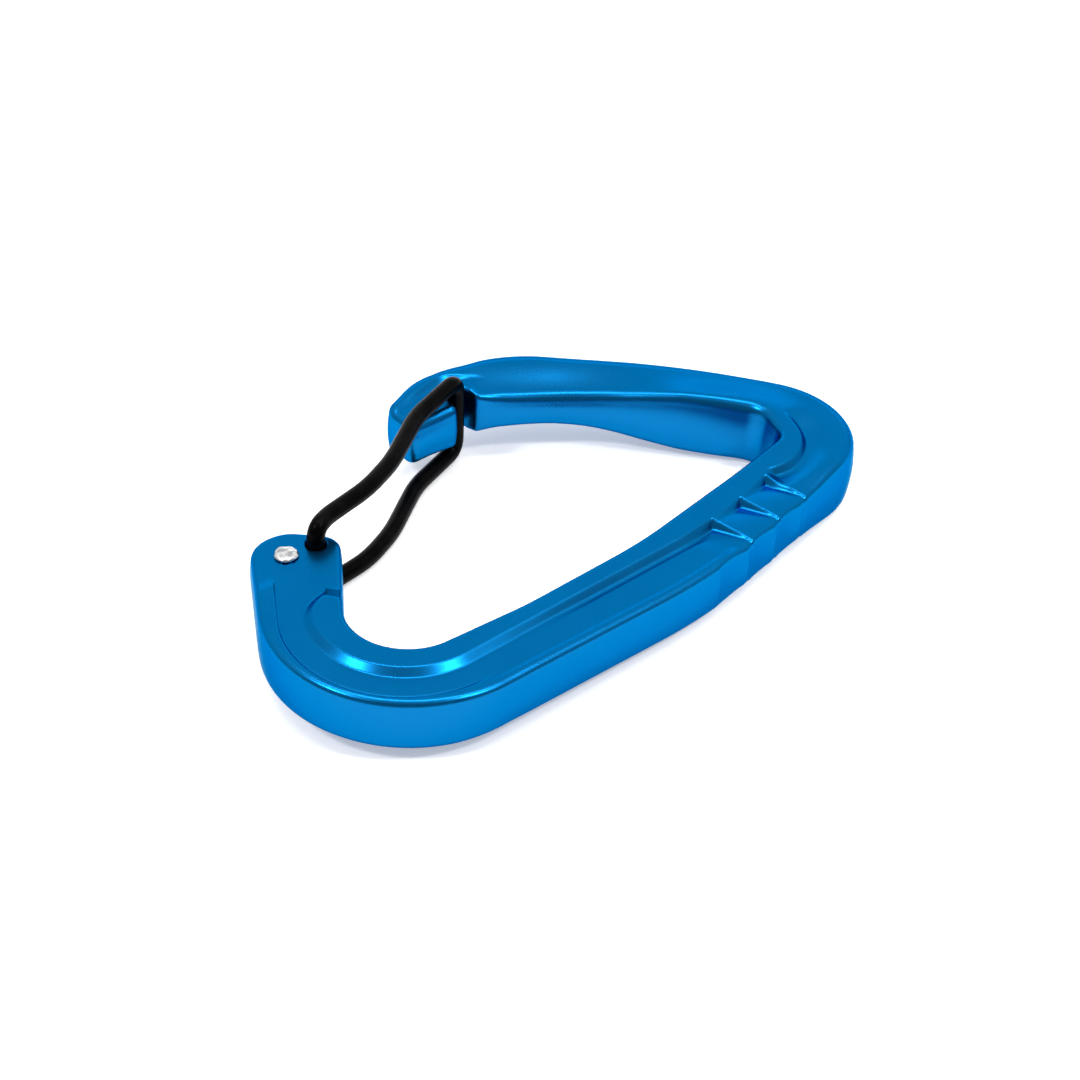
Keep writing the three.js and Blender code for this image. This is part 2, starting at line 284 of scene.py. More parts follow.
loop = subdivided(rounded(OUTER_SIDE + NOSE_HOOK + INNER_SIDE, True))[:-1]
loop_step = np.linalg.norm(np.roll(loop, -1, 0) - loop, axis=1)
loop_length = loop_step.sum()
loop_place = np.concatenate([[0], np.cumsum(loop_step)[:-1]])


def place_on_loop(point):
    return loop_place[np.linalg.norm(loop - np.array(point), axis=1).argmin()]


def on_loop(places, values):
    """Values given at each dense loop point, read at arc lengths places."""
    grid = np.append(loop_place, loop_length)
    closed = np.concatenate([values, values[:1]])
    wrapped = np.mod(places, loop_length)
    return np.stack([np.interp(wrapped, grid, closed[:, k]) for k in range(closed.shape[1])], 1)


def monotone(x, y, at):
    """Monotone cubic through (x, y)."""
    x, y = np.asarray(x, float), np.asarray(y, float)
    width = np.diff(x)
    slope = np.diff(y) / width
    tangent = np.empty(len(x))
    tangent[0], tangent[-1] = slope[0], slope[-1]
    weight_a, weight_b = 2 * width[1:] + width[:-1], width[1:] + 2 * width[:-1]
    tangent[1:-1] = (weight_a + weight_b) / (weight_a / slope[:-1] + weight_b / slope[1:])
    index = np.clip(np.searchsorted(x, at) - 1, 0, len(width) - 1)
    t = (at - x[index]) / width[index]
    h = width[index]
    return (
        y[index] * (1 + 2 * t) * (1 - t) ** 2 + h * tangent[index] * t * (1 - t) ** 2
        + y[index + 1] * t * t * (3 - 2 * t) + h * tangent[index + 1] * t * t * (t - 1)
    )


def keyed(entries, softness):
    """Values at every dense loop point from [point, value, ...] entries, softened."""
    keys = sorted((place_on_loop(point), *values) for point, *values in entries)
    table = np.array([(keys[-1][0] - loop_length, *keys[-1][1:]), *keys,
                      (keys[0][0] + loop_length, *keys[0][1:])])
    columns = [np.interp(loop_place, table[:, 0], table[:, k]) for k in range(1, table.shape[1])]
    return blurred(np.stack(columns, 1), softness / DENSE_STEP, True)


tangent = np.roll(loop, -1, 0) - np.roll(loop, 1, 0)
tangent = blurred(tangent / np.linalg.norm(tangent, axis=1, keepdims=True), 0.25 / DENSE_STEP, True)
tangent /= np.linalg.norm(tangent, axis=1, keepdims=True)
area = 0.5 * (loop[:, 0] * np.roll(loop[:, 1], -1) - np.roll(loop[:, 0], -1) * loop[:, 1]).sum()
inward = np.stack([-tangent[:, 1], tangent[:, 0]], 1) * (1 if area > 0 else -1)
edge_sizes = keyed(EDGE_KEYS, 0.6)
inner_levels = keyed(INNER_LEVEL_KEYS, 1.0)

inner_line = Line(loop[::3][place_on_loop(INNER_LINE_START) <= loop_place[::3]])
outer_mask = loop_place[::3] <= place_on_loop(OUTER_LINE_END)
outer_line = Line(loop[::3][outer_mask])
rim_line = Line(rounded(RIM_LINE, False))
groove_line = Line(rounded(GROOVE_LINE, False))
recess_line = Line(rounded(NOSE_RECESS, False))


def rim_height(p, from_rim):
    """Level of the raised inner rim above the panel, from 0 to 1, without the ridges."""
    along_spine = smooth((p[:, 0] + 26) / 14)
    slope = RIM_SLOPE - RIM_SLOPE_SHARPER * along_spine
    past_end = (p - RIM_END) @ RIM_END_NORMAL
    near_end = (p[:, 1] > -12) & (p[:, 0] < -24)
    turned = np.clip((past_end + RIM_TUCK_LENGTH) / RIM_TUCK_LENGTH, 0, 1.2)
    tuck = RIM_END_TUCK * turned ** 2 * near_end
    side = 1 - ramp(from_rim + tuck - 0.1, slope, 0.18)
    end = np.where(near_end, 1 - ramp(past_end, RIM_END_RAMP, 0.15), 1.0)
    return np.minimum(side, end)


def ridge_lowering(p, from_rim, from_outer):
    """How far the surface lies below the rim in the thumb ridges, and where they have begun."""
    normal = np.array([-RIDGE_DIRECTION[1], RIDGE_DIRECTION[0]])
    pitch = RIDGE_PITCH @ normal
    along = (p - RIDGE_TOP) @ normal
    across = np.clip(from_rim / np.maximum(from_rim + from_outer - 0.8, 0.5), 0, 1)
    crest = STEP_DEPTH * across
    side = ramp(from_rim - 0.05, RIDGE_SIDE, 0.15)
    foot = side * (RIDGE_DEPTH + (STEP_DEPTH + 0.15 - RIDGE_DEPTH) * across)
    lowering = np.zeros(len(p))
    for number in range(RIDGE_COUNT):
        behind = number * pitch - along
        width = np.maximum(RIDGE_WALL * (foot - crest), 0.3)
        pocket = 1 - np.clip((behind - width) / (pitch - width), 0, 1)
        if number == 0:
            pocket = np.ones(len(p))
        surface = crest + (foot - crest) * pocket
        wall = ramp(behind - 0.05, width, 0.16)
        inside = (behind > -0.3) & (behind <= (pitch if number else 50))
        lowering = np.where(inside, crest + (surface - crest) * wall, lowering)
    beyond = along - (RIDGE_COUNT - 1) * pitch
    lowering = np.where(beyond >= 0.3, crest * smooth(1 - beyond / RIDGE_FADE), lowering)
    return lowering, smooth((along + 7.0) / 5.0)


def top_height(p, inner_level):
    """Height of the upper face above the mid-plane, in millimetres, at plan points p."""
    from_rim = rim_line.signed(p)
    from_outer = np.abs(outer_line.signed(p))
    from_inner = np.abs(inner_line.signed(p))
    spine_side = p[:, 1] < np.where(p[:, 0] > 0, -9.0, 12.0)
    panel = STEP_DEPTH * (1 - rim_height(p, from_rim))
    ridges, started = ridge_lowering(p, from_rim, from_outer)
    lowering = panel * (1 - started) + ridges * started
    height = HALF_THICKNESS - np.where(spine_side, lowering, 0.0)

    # Low outer rim round the bend, with the fine step line along it.
    beside_groove = groove_line.signed(p)
    fade = smooth((4.8 - p[:, 1]) / 2.5) * smooth((-26.0 - p[:, 0]) / 10.0) * spine_side
    height += OUTER_RIM_HEIGHT * ramp(beside_groove + 0.15, OUTER_RIM_SLOPE, 0.08) * fade
    height -= GROOVE_DEPTH * np.exp(-(beside_groove / GROOVE_WIDTH) ** 2) * fade
    # Low lip along the spine's outer edge.
    along_panel = smooth((p[:, 0] + 34) / 12) * smooth((14.5 - p[:, 0]) / 3)
    lip = ramp(LIP_WIDTH - from_outer, LIP_SLOPE, 0.12)
    height += LIP_HEIGHT * lip * along_panel * spine_side
    # Shallow channel beside the inner rim along the spine.
    beside_channel = (from_rim - CHANNEL_PLACE) / CHANNEL_WIDTH
    channel = np.exp(-beside_channel ** 2) * smooth((p[:, 0] + 20) / 12)
    height -= CHANNEL_DEPTH * channel * (1 - started) * spine_side

    # Rope seat and top bar: the inner edge has its own level, which fades out across.
    along_bar = (np.array([-0.82, 0.573]) * p).sum(1)
    bar = smooth((along_bar + 36) / 15) * ~spine_side
    height -= (HALF_THICKNESS - BAR_LEVEL) * bar
    lift = inner_level - HALF_THICKNESS + (HALF_THICKNESS - BAR_LEVEL) * bar
    reach = np.where(lift > 0, SEAT_REACH, BAR_REACH)
    height += lift * smooth((reach - from_inner) / (reach - 0.8))

    # Recess round the nose hook.
    near_nose = (p[:, 1] > 14) & (p[:, 0] > -12) & (p[:, 0] < 13)
    height -= NOSE_TIP_DROP * smooth((2.0 - p[:, 0]) / 6.0) * near_nose
    recess = ramp(recess_line.signed(p) + 0.5, RECESS_WALL, 0.25) * near_nose
    height -= recess * np.maximum(height - NOSE_LEVEL, 0)

    # The rope seat's raised pad ends in a crescent step, which the outside meets gently.
    spoke = p - CRESCENT_CENTRE
    radius = np.linalg.norm(spoke, axis=1)
    angle = np.degrees(np.arctan2(spoke[:, 1], spoke[:, 0]))
    strength = smooth((angle + 116) / 14) * smooth((8 - angle) / 32)
    beyond = radius - CRESCENT_RADIUS
    rise = smooth(1 - (beyond - CRESCENT_WALL) / CRESCENT_RISE)
    dip = ramp(beyond, CRESCENT_WALL, 0.15) * rise
    height -= CRESCENT_DEPTH * dip * strength
    return height


def stations():
    """Arc lengths on the loop of each cross-section's outer and inner end, hinge to nose."""
    hinge_outer, hinge_inner = [place_on_loop(point) for point in HINGE_ENDS]
    nose_outer, nose_inner = [place_on_loop(point) for point in NOSE_ENDS]
    outer = [hinge_outer]
    inner = [hinge_inner if hinge_inner > nose_inner else hinge_inner + loop_length]
    steps = []
    for outer_point, inner_point, step in CHORDS:
        outer.append(place_on_loop(outer_point))
        inner.append(place_on_loop(inner_point))
        steps.append(step)
    outer.append(nose_outer)
    inner.append(nose_inner)
    steps.append(LAST_CHORD_STEP)
    outer, inner = np.array(outer), np.array(inner)
    if outer[0] > outer[1]:
        outer[0] -= loop_length
    spans = np.maximum(np.abs(np.diff(outer)), np.abs(np.diff(inner)))
    counts = np.maximum(2, np.round(spans / np.array(steps)))
    knots = np.concatenate([[0], np.cumsum(counts)])
    at = np.arange(int(knots[-1]) + 1)
    outer_at = monotone(knots, outer, at)
    inner_at = -monotone(knots, -inner, at)
    return outer_at, inner_at


def lateral_anchors(outer_edge, inner_edge):
    """Share of the way across at which each cross-section meets the rim's slope."""
    shares = np.linspace(0, 1, 121)
    chord = outer_edge[:, None] + shares[None, :, None] * (inner_edge - outer_edge)[:, None]
    gap = rim_line.signed(chord.reshape(-1, 2)).reshape(len(outer_edge), -1)
    foot = np.array([np.interp(0.0, 1.7 - row, shares) for row in gap])
    rim = np.array([np.interp(0.0, -0.1 - row, shares) for row in gap])
    middle = outer_edge + 0.5 * (inner_edge - outer_edge)
    has_rim = (middle[:, 1] < -1) & (middle[:, 0] < 36)
    weight = blurred(has_rim.astype(float), 16, False)
    good = has_rim & (foot > 0.15) & (rim < 0.93) & (rim > foot + 0.03)
    where = np.arange(len(foot))
    foot = np.interp(where, where[good], foot[good]) * weight + FOOT_SHARE * (1 - weight)
    rim = np.interp(where, where[good], rim[good]) * weight + CREST_SHARE * (1 - weight)
    return blurred(foot, 3, False), blurred(rim, 3, False)


def profile(width, height, crown, top):
    """One half of the wall and its rounding: rows of (inset, z) from the mid-plane up to top."""
    height = min(height, top)
    straight = top - height
    wall = np.linspace(0, 1, 12, endpoint=False)
    turn = np.linspace(0, math.pi / 2, 40)
    inset = np.concatenate([crown * wall ** 2, crown + width * (1 - np.cos(turn))])
    z = np.concatenate([straight * wall, straight + height * np.sin(turn)])
    length = np.concatenate([[0], np.cumsum(np.hypot(np.diff(inset), np.diff(z)))])
    lean = np.linspace(0, 1, PROFILE_RINGS)
    places = length[-1] * (1 - (1 - lean) ** 1.25)
    return np.interp(places, length, inset), np.interp(places, length, z)


def forging():
    """Vertices and quads of the whole forging, in drawing millimetres."""
    outer_at, inner_at = stations()
    count = len(outer_at)
    rows = LATERAL_ROWS
    share = np.linspace(0, 1, rows + 1)[1:-1]
    nose_at = outer_at[-1] + (inner_at[-1] - outer_at[-1]) * share
    hinge_end = inner_at[0]
    hinge_start = outer_at[0] + loop_length
    hinge_at = hinge_end + (hinge_start - hinge_end) * share
    ring_at = np.concatenate([outer_at, nose_at, inner_at[::-1], hinge_at])

    base = on_loop(ring_at, loop)
    normal = on_loop(ring_at, inward)
    normal /= np.linalg.norm(normal, axis=1, keepdims=True)
    sizes = on_loop(ring_at, edge_sizes)
    rim = base + normal * (sizes[:, :1] + sizes[:, 2:3])

    # The upper face: a ruled patch between the inset outlines, with its two ends bent to fit.
    outer_edge = rim[:count]
    nose_edge = rim[count:count + rows - 1]
    inner_edge = rim[count + rows - 1:2 * count + rows - 1][::-1]
    hinge_edge = rim[2 * count + rows - 1:][::-1]
    foot, crest = lateral_anchors(outer_edge, inner_edge)
    first, second = int(rows * FOOT_ROW), int(rows * CREST_ROW)
    knots = np.array([0, first, second, rows])
    lateral = np.arange(rows + 1)
    across = np.stack([np.interp(lateral, knots, [0, a, b, 1]) for a, b in zip(foot, crest)])
    patch = outer_edge[:, None] + across[..., None] * (inner_edge - outer_edge)[:, None]
    hinge_curve = np.concatenate([outer_edge[:1], hinge_edge, inner_edge[:1]])
    nose_curve = np.concatenate([outer_edge[-1:], nose_edge, inner_edge[-1:]])
    middle = patch[:, rows // 2]
    travelled = np.concatenate([[0], np.cumsum(np.linalg.norm(np.diff(middle, axis=0), axis=1))])
    from_hinge = (1 - smooth(travelled / HINGE_BLEND))[:, None, None]
    from_nose = (1 - smooth((travelled[-1] - travelled) / NOSE_BLEND))[:, None, None]
    patch = patch + (hinge_curve - patch[0]) * from_hinge + (nose_curve - patch[-1]) * from_nose

    flat = patch.reshape(-1, 2)
    level = on_loop(inner_at, inner_levels)[:, 0]
    face_z = top_height(flat, np.repeat(level, rows + 1))
    grid_index = np.arange(count * (rows + 1)).reshape(count, rows + 1)
    edge_index = np.concatenate([
        grid_index[:, 0], grid_index[-1, 1:-1], grid_index[::-1, -1], grid_index[0, 1:-1][::-1],
    ])

    # Walls: rings from the mid-plane up to the upper face's own edge.
    scallop = scallop_depth(base)
    tops = face_z[edge_index]
    rings = np.array([profile(w, h, c, t) for (w, h, c), t in zip(sizes, tops)])
    inset = rings[:, 0, :]
    reach = (sizes[:, 0] + sizes[:, 2])[:, None]
    inset = inset + scallop[:, None] * (1 - inset / reach)
    wall_xy = base[:, None] + inset[..., None] * normal[:, None]
    wall_z = rings[:, 1, :]

    ring_count = len(base)
    inner_rings = PROFILE_RINGS - 1
    points = [np.column_stack([wall_xy[:, 0], np.zeros(ring_count)])]
    for k in range(1, inner_rings):
        points.append(np.column_stack([wall_xy[:, k], wall_z[:, k]]))
    points.append(np.column_stack([flat, face_z]))
    for k in range(1, inner_rings):
        points.append(np.column_stack([wall_xy[:, k], -wall_z[:, k]]))
    points.append(np.column_stack([flat, -face_z]))
    sizes_of = [len(block) for block in points]
    starts = np.concatenate([[0], np.cumsum(sizes_of)])
    vertices = np.concatenate(points)

    faces = []
    around = np.arange(ring_count)
    following = np.roll(around, -1)

    def band(low, high, flip):
        quad = np.stack([low[around], low[following], high[following], high[around]], 1)
        faces.append(quad[:, ::-1] if flip else quad)

    for side in (0, 1):
        first_block = 1 + side * inner_rings
        chain = [starts[0] + around]
        chain += [starts[first_block + k] + around for k in range(inner_rings - 1)]
        face_start = starts[first_block + inner_rings - 1]
        chain.append(face_start + edge_index)
        for low, high in zip(chain[:-1], chain[1:]):
            band(low, high, side == 1)
        grid = face_start + grid_index
        cells = np.stack([
            grid[:-1, :-1], grid[1:, :-1], grid[1:, 1:], grid[:-1, 1:],
        ], -1).reshape(-1, 4)
        faces.append(cells[:, ::-1] if side == 1 else cells)
    quads = np.concatenate(faces)
    return vertices, quads if area > 0 else quads[:, ::-1]


def scallop_depth(base):
    """Three shallow thumb scallops in the outer wall, level with the ridges."""
    pitch = np.linalg.norm(RIDGE_PITCH)
    along = (base - RIDGE_TOP) @ (RIDGE_PITCH / pitch) + 1.2
    wave = np.abs(np.sin(math.pi * along / pitch))
    window = smooth((along + pitch) / 1.0) * smooth((2.0 * pitch + 1.0 - along) / 1.0)
    outer = base[:, 1] < -20
    return SCALLOP_DEPTH * wave * window * outer


def to_row(points):
    """Drawing millimetres, Z from the mid-plane, to the row frame in metres."""
    shift = np.array([-PLAN_CENTRE[0], -PLAN_CENTRE[1], MID_Z])
    return (np.asarray(points, float) + shift) * MM


def mesh_object(name, vertices, faces, material):
    mesh = bpy.data.meshes.new(name)
    mesh.from_pydata(vertices.tolist(), [], [list(map(int, face)) for face in faces])
    mesh.validate()
    mesh.polygons.foreach_set("use_smooth", [True] * len(mesh.polygons))
    mesh.set_sharp_from_angle(angle=SHARP_ANGLE)
    mesh.materials.append(material)
    piece = bpy.data.objects.new(name, mesh)
    bpy.context.scene.collection.objects.link(piece)
    return piece


# ---------------------------------------------------------------- materials

def new_material(name):
    material = bpy.data.materials.new(name)
    material.use_nodes = True
    nodes = material.node_tree.nodes
    return material, nodes, material.node_tree.links, nodes["Principled BSDF"]


def noise(nodes, links, scale, detail, coordinates):
    node = nodes.new("ShaderNodeTexNoise")
    node.inputs["Scale"].default_value = scale
    node.inputs["Detail"].default_value = detail
    links.new(coordinates, node.inputs["Vector"])
    return node


def mapped(nodes, links, source, low, high, low_out, high_out):
    node = nodes.new("ShaderNodeMapRange")
    node.inputs["From Min"].default_value = low
    node.inputs["From Max"].default_value = high
    node.inputs["To Min"].default_value = low_out
    node.inputs["To Max"].default_value = high_out
    links.new(source, node.inputs["Value"])
    return node.outputs["Result"]


def mixed(nodes, low, high):
    """Colour mix between two RGBA colours."""
    node = nodes.new("ShaderNodeMix")
    node.data_type = "RGBA"
    node.inputs["A"].default_value = low
    node.inputs["B"].default_value = high
    return node


def summed(nodes, links, first, second):
    node = nodes.new("ShaderNodeMath")
    node.operation = "ADD"
    links.new(first, node.inputs[0])
    links.new(second, node.inputs[1])
    return node.outputs["Value"]


def anodised_blue():
    """Satin blue anodising: fine blasted grain and soft cloudiness."""
    material, nodes, links, shader = new_material("anodised_blue")
    where = nodes.new("ShaderNodeTexCoord").outputs["Object"]
    cloud = noise(nodes, links, 90.0, 3.0, where)
    grain = noise(nodes, links, 3400.0, 1.0, where)
    colour = mixed(nodes, (0.003, 0.134, 0.360, 1), (0.003, 0.150, 0.395, 1))
    cloud_shade = mapped(nodes, links, cloud.outputs["Fac"], 0.3, 0.7, 0.2, 0.8)
    grain_shade = mapped(nodes, links, grain.outputs["Fac"], 0.3, 0.7, -0.22, 0.22)
    links.new(summed(nodes, links, cloud_shade, grain_shade), colour.inputs["Factor"])
    links.new(colour.outputs["Result"], shader.inputs["Base Color"])
    cloud_rough = mapped(nodes, links, cloud.outputs["Fac"], 0.3, 0.7, 0.27, 0.31)
    grain_rough = mapped(nodes, links, grain.outputs["Fac"], 0.3, 0.7, -0.008, 0.008)
    links.new(summed(nodes, links, cloud_rough, grain_rough), shader.inputs["Roughness"])
    shader.inputs["Metallic"].default_value = 1.0
    shader.inputs["Specular Tint"].default_value = (0.10, 0.50, 0.74, 1)
    return material


def black_wire():
    """Black-coated spring steel: smooth, with faint rub marks."""
    material, nodes, links, shader = new_material("black_wire")
    where = nodes.new("ShaderNodeTexCoord").outputs["Object"]
    rub = noise(nodes, links, 420.0, 5.0, where)
    colour = mixed(nodes, (0.0006, 0.0006, 0.0007, 1), (0.003, 0.0027, 0.0027, 1))
    wear = mapped(nodes, links, rub.outputs["Fac"], 0.45, 0.75, 0.0, 1.0)
    links.new(wear, colour.inputs["Factor"])
    links.new(colour.outputs["Result"], shader.inputs["Base Color"])
    rough = mapped(nodes, links, rub.outputs["Fac"], 0.3, 0.7, 0.24, 0.36)
    links.new(rough, shader.inputs["Roughness"])
    shader.inputs["Specular IOR Level"].default_value = 0.03
    return material


def hammered_steel():
    """Bare steel of the peened wire end, with hammer facets; its colour is painted darker in the
    bump's hollows, as painted shade.
    """
    material, nodes, links, shader = new_material("hammered_steel")
    where = nodes.new("ShaderNodeTexCoord").outputs["Object"]
    dents = noise(nodes, links, 1300.0, 3.0, where)
    # Painted shade: the colour darkens where the dent noise, which also drives the bump, is low, so
    # the dents' hollows look shaded.
    colour = mixed(nodes, (0.30, 0.30, 0.31, 1), (0.72, 0.72, 0.73, 1))
    painted_dent_shade = mapped(nodes, links, dents.outputs["Fac"], 0.35, 0.6, 0.0, 1.0)
    links.new(painted_dent_shade, colour.inputs["Factor"])
    links.new(colour.outputs["Result"], shader.inputs["Base Color"])
    rough = mapped(nodes, links, dents.outputs["Fac"], 0.3, 0.7, 0.38, 0.2)
    links.new(rough, shader.inputs["Roughness"])
    bump = nodes.new("ShaderNodeBump")
    bump.inputs["Strength"].default_value = 0.5
    bump.inputs["Distance"].default_value = 0.00006
    links.new(dents.outputs["Fac"], bump.inputs["Height"])
    links.new(bump.outputs["Normal"], shader.inputs["Normal"])
    shader.inputs["Metallic"].default_value = 1.0
    return material


blue = anodised_blue()
black = black_wire()
steel = hammered_steel()

# ---------------------------------------------------------------- forged body

EYE_Z = HALF_THICKNESS - STEP_DEPTH
COUNTERSINK = 0.22
HOLE_SIDES = 96
body_vertices, body_faces = forging()
body = mesh_object("forged_frame", to_row(body_vertices), body_faces, blue)


def drill(piece, centre):
    """Cuts one wire hole with a small countersink on both faces."""
    levels = [
        -EYE_Z - 2, -EYE_Z - 0.01, -EYE_Z + COUNTERSINK,
        EYE_Z - COUNTERSINK, EYE_Z + 0.01, EYE_Z + 2,
    ]
    wide = HOLE_RADIUS + COUNTERSINK
    radii = [wide, wide, HOLE_RADIUS, HOLE_RADIUS, wide, wide]
    sides = HOLE_SIDES
    angle = np.arange(sides) * 2 * math.pi / sides
    ring = np.stack([np.cos(angle), np.sin(angle)], 1)
    points = np.concatenate([
        np.column_stack([centre + ring * r, np.full(sides, z)]) for r, z in zip(radii, levels)
    ])
    faces = []
    for level in range(len(radii) - 1):
        for k in range(sides):
            a, b = level * sides + k, level * sides + (k + 1) % sides
            faces.append([a, b, b + sides, a + sides])
    faces.append(list(range(sides))[::-1])
    faces.append([(len(radii) - 1) * sides + k for k in range(sides)])
    cutter = mesh_object("cutter", to_row(points), faces, blue)
    modifier = piece.modifiers.new("hole", "BOOLEAN")
    modifier.operation = "DIFFERENCE"
    modifier.solver = "EXACT"
    modifier.object = cutter
    apply_modifiers(piece)
    bpy.data.objects.remove(cutter)


def apply_modifiers(piece):
    graph = bpy.context.evaluated_depsgraph_get()
    result = bpy.data.meshes.new_from_object(piece.evaluated_get(graph))
    piece.modifiers.clear()
    piece.data = result


for hole in (UPPER_HOLE, LOWER_HOLE):
    drill(body, hole)
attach(body, "frame")
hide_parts("forged_body")

# ---------------------------------------------------------------- spring wire gate

TOP_LEG_Z = GATE_HEIGHT / 2 - WIRE_RADIUS
LOW_LEG_Z = -TOP_LEG_Z
HEAD_RADIUS = 1.65
HEAD_HEIGHT = 0.75
HEAD_SIDES = 64
HEAD_LEVELS = 22
HEAD_FOOT = 0.93          # share of the full radius at the head's foot
DENT_COUNT = 14
DENT_WIDTH = 0.42
LEG_MIDDLE = [[-20.3, 10.2, 2.6], [-14.2, 13.1, 2.6], [-4.9, 19.9, 2.6]]
CROSSPIECE = [5.35, 23.9]
CROSS_BEND = 2.3
WIRE_STEP = 0.3
WIRE_SIDES = 32
PATH_STEP = 0.05
HEAD_GAP = 0.3            # clearance under the upper leg's head
TOP_BEND = 1.75           # bend where the upper leg turns down into its hole
UPPER_LEG_START = [-28.3, 8.3, 1.3]
LOWER_LEG_START = [[-27.9, 9.0, 1.1], [-33.4, 9.4, 1.1]]
LOW_BEND = 1.4


def bent_path(corners):
    """Dense points of straight runs joined by quadratic bends: corners are [x, y, z, bend]."""
    points = [np.array(corners[0][:3], float)]
    for k in range(1, len(corners) - 1):
        corner = np.array(corners[k][:3], float)
        after = np.array(corners[k + 1][:3], float)
        bend = corners[k][3]
        entry = corner + bend * (points[-1] - corner) / np.linalg.norm(points[-1] - corner)
        leave = corner + bend * (after - corner) / np.linalg.norm(after - corner)
        for t in np.linspace(0, 1, 25):
            points.append((1 - t) ** 2 * entry + 2 * t * (1 - t) * corner + t * t * leave)
    points.append(np.array(corners[-1][:3], float))
    return subdivided(np.array(points), PATH_STEP)


def tube(line, radius, step):
    """Closed tube along a dense line."""
    stride = max(1, int(round(step / PATH_STEP)))
    keep = np.unique(np.concatenate([np.arange(0, len(line), stride), [len(line) - 1]]))
    path = line[keep]
    heading = np.gradient(path, axis=0)
    heading /= np.linalg.norm(heading, axis=1, keepdims=True)
    across = np.cross(heading[0], [0.3, 0.9, 0.2])
    rings = []
    angle = np.arange(WIRE_SIDES) * 2 * math.pi / WIRE_SIDES
    for place, direction in zip(path, heading):
        across = across - direction * (across @ direction)
        across /= np.linalg.norm(across)
        other = np.cross(direction, across)
        circle = np.outer(np.cos(angle), across) + np.outer(np.sin(angle), other)
        rings.append(place + radius * circle)
    points = np.concatenate(rings)
    faces = []
    for level in range(len(path) - 1):
        for k in range(WIRE_SIDES):
            a, b = level * WIRE_SIDES + k, level * WIRE_SIDES + (k + 1) % WIRE_SIDES
            faces.append([a, b, b + WIRE_SIDES, a + WIRE_SIDES])
    faces.append(list(range(WIRE_SIDES))[::-1])
    last = (len(path) - 1) * WIRE_SIDES
    faces.append([last + k for k in range(WIRE_SIDES)])
    return points, faces


def at_level(corners, z):
    """Plan corners [x, y, bend] of a leg, put at height z."""
    return [[x, y, z, bend] for x, y, bend in corners]


HALF_CROSS = [*CROSSPIECE, 0.0]
upper_corners = [
    [*UPPER_HOLE, -EYE_Z - HEAD_GAP - HEAD_HEIGHT / 2], [*UPPER_HOLE, TOP_LEG_Z, TOP_BEND],
    *at_level([UPPER_LEG_START, *LEG_MIDDLE], TOP_LEG_Z),
    [*CROSSPIECE, TOP_LEG_Z, CROSS_BEND], HALF_CROSS,
]
lower_corners = [
    HALF_CROSS, [*CROSSPIECE, LOW_LEG_Z, CROSS_BEND],
    *at_level([*LEG_MIDDLE[::-1], *LOWER_LEG_START], LOW_LEG_Z),
    [*LOWER_HOLE, LOW_LEG_Z, LOW_BEND], [*LOWER_HOLE, -EYE_Z - HEAD_GAP / 2],
]
upper_points, upper_faces = tube(bent_path(upper_corners), WIRE_RADIUS, WIRE_STEP)
upper_leg = mesh_object("gate_upper_leg", to_row(upper_points), upper_faces, black)
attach(upper_leg, "gate")
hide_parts("gate_wire")

lower_points, lower_faces = tube(bent_path(lower_corners), WIRE_RADIUS, WIRE_STEP)
lower_leg = mesh_object("gate_lower_leg", to_row(lower_points), lower_faces, black)
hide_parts("gate_wire")
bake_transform(lower_leg)


def peened_head(name, centre, base_z, side, seed, stem):
    """Hammered dome over a wire end, with the wire's stem below it."""
    rng = np.random.default_rng(seed)
    sides, levels = HEAD_SIDES, HEAD_LEVELS
    dents = rng.uniform(-1, 1, (DENT_COUNT, 2)) * HEAD_RADIUS * 0.8
    depths = rng.uniform(0.02, 0.09, DENT_COUNT)
    points = []
    for level in range(levels + 1):
        t = level / levels
        flare = min(1.0, HEAD_FOOT + 0.5 * t)
        turn = max(0, t - 0.12) / 0.88 * math.pi / 2
        radius = HEAD_RADIUS * flare * math.cos(turn) ** 0.62
        height = HEAD_HEIGHT * math.sin(t * math.pi / 2)
        for k in range(sides):
            angle = 2 * math.pi * k / sides
            wobble = 1 + 0.025 * math.sin(3 * angle + seed) + 0.02 * math.sin(5 * angle + 2 * seed)
            x, y = radius * wobble * math.cos(angle), radius * wobble * math.sin(angle)
            gap = np.hypot(dents[:, 0] - x, dents[:, 1] - y)
            sink = (depths * np.exp(-(gap / DENT_WIDTH) ** 2)).sum() * smooth(t * 2.2)
            points.append([centre[0] + x, centre[1] + y, base_z + side * (height - float(sink))])
    stem_z = base_z - side * stem
    top_ring = [[centre[0] + WIRE_RADIUS * math.cos(2 * math.pi * k / sides),
                 centre[1] + WIRE_RADIUS * math.sin(2 * math.pi * k / sides), z]
                for z in (stem_z, base_z) for k in range(sides)]
    points = np.array(top_ring + points)
    faces = []
    for level in range(levels + 2):
        for k in range(sides):
            a, b = level * sides + k, level * sides + (k + 1) % sides
            faces.append([a, b, b + sides, a + sides])
    faces.append(list(range(sides))[::-1])
    last = (levels + 2) * sides
    faces.append([last + k for k in range(sides)])
    if side < 0:
        faces = [face[::-1] for face in faces]
    return mesh_object(name, to_row(points), faces, steel)


lower_head = peened_head("lower_end_head", LOWER_HOLE, EYE_Z + 0.02, 1, 3, 2 * EYE_Z)
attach(lower_head, "gate_lower_end")
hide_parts("gate_lower_end")
upper_head = peened_head("upper_end_head", UPPER_HOLE, -EYE_Z - HEAD_GAP, -1, 8, 0.1)
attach(upper_head, "gate")
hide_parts("gate_wire")

# ---------------------------------------------------------------- floor, light and camera

FLOOR_GLOW = 0.34
TABLE_TONE = 0.93
TABLE_HALF_SIZE = 3.0
TABLE_GAP = 0.00005
TILT_REACH = 0.01         # body points nearer the wire than this do not set the tilt


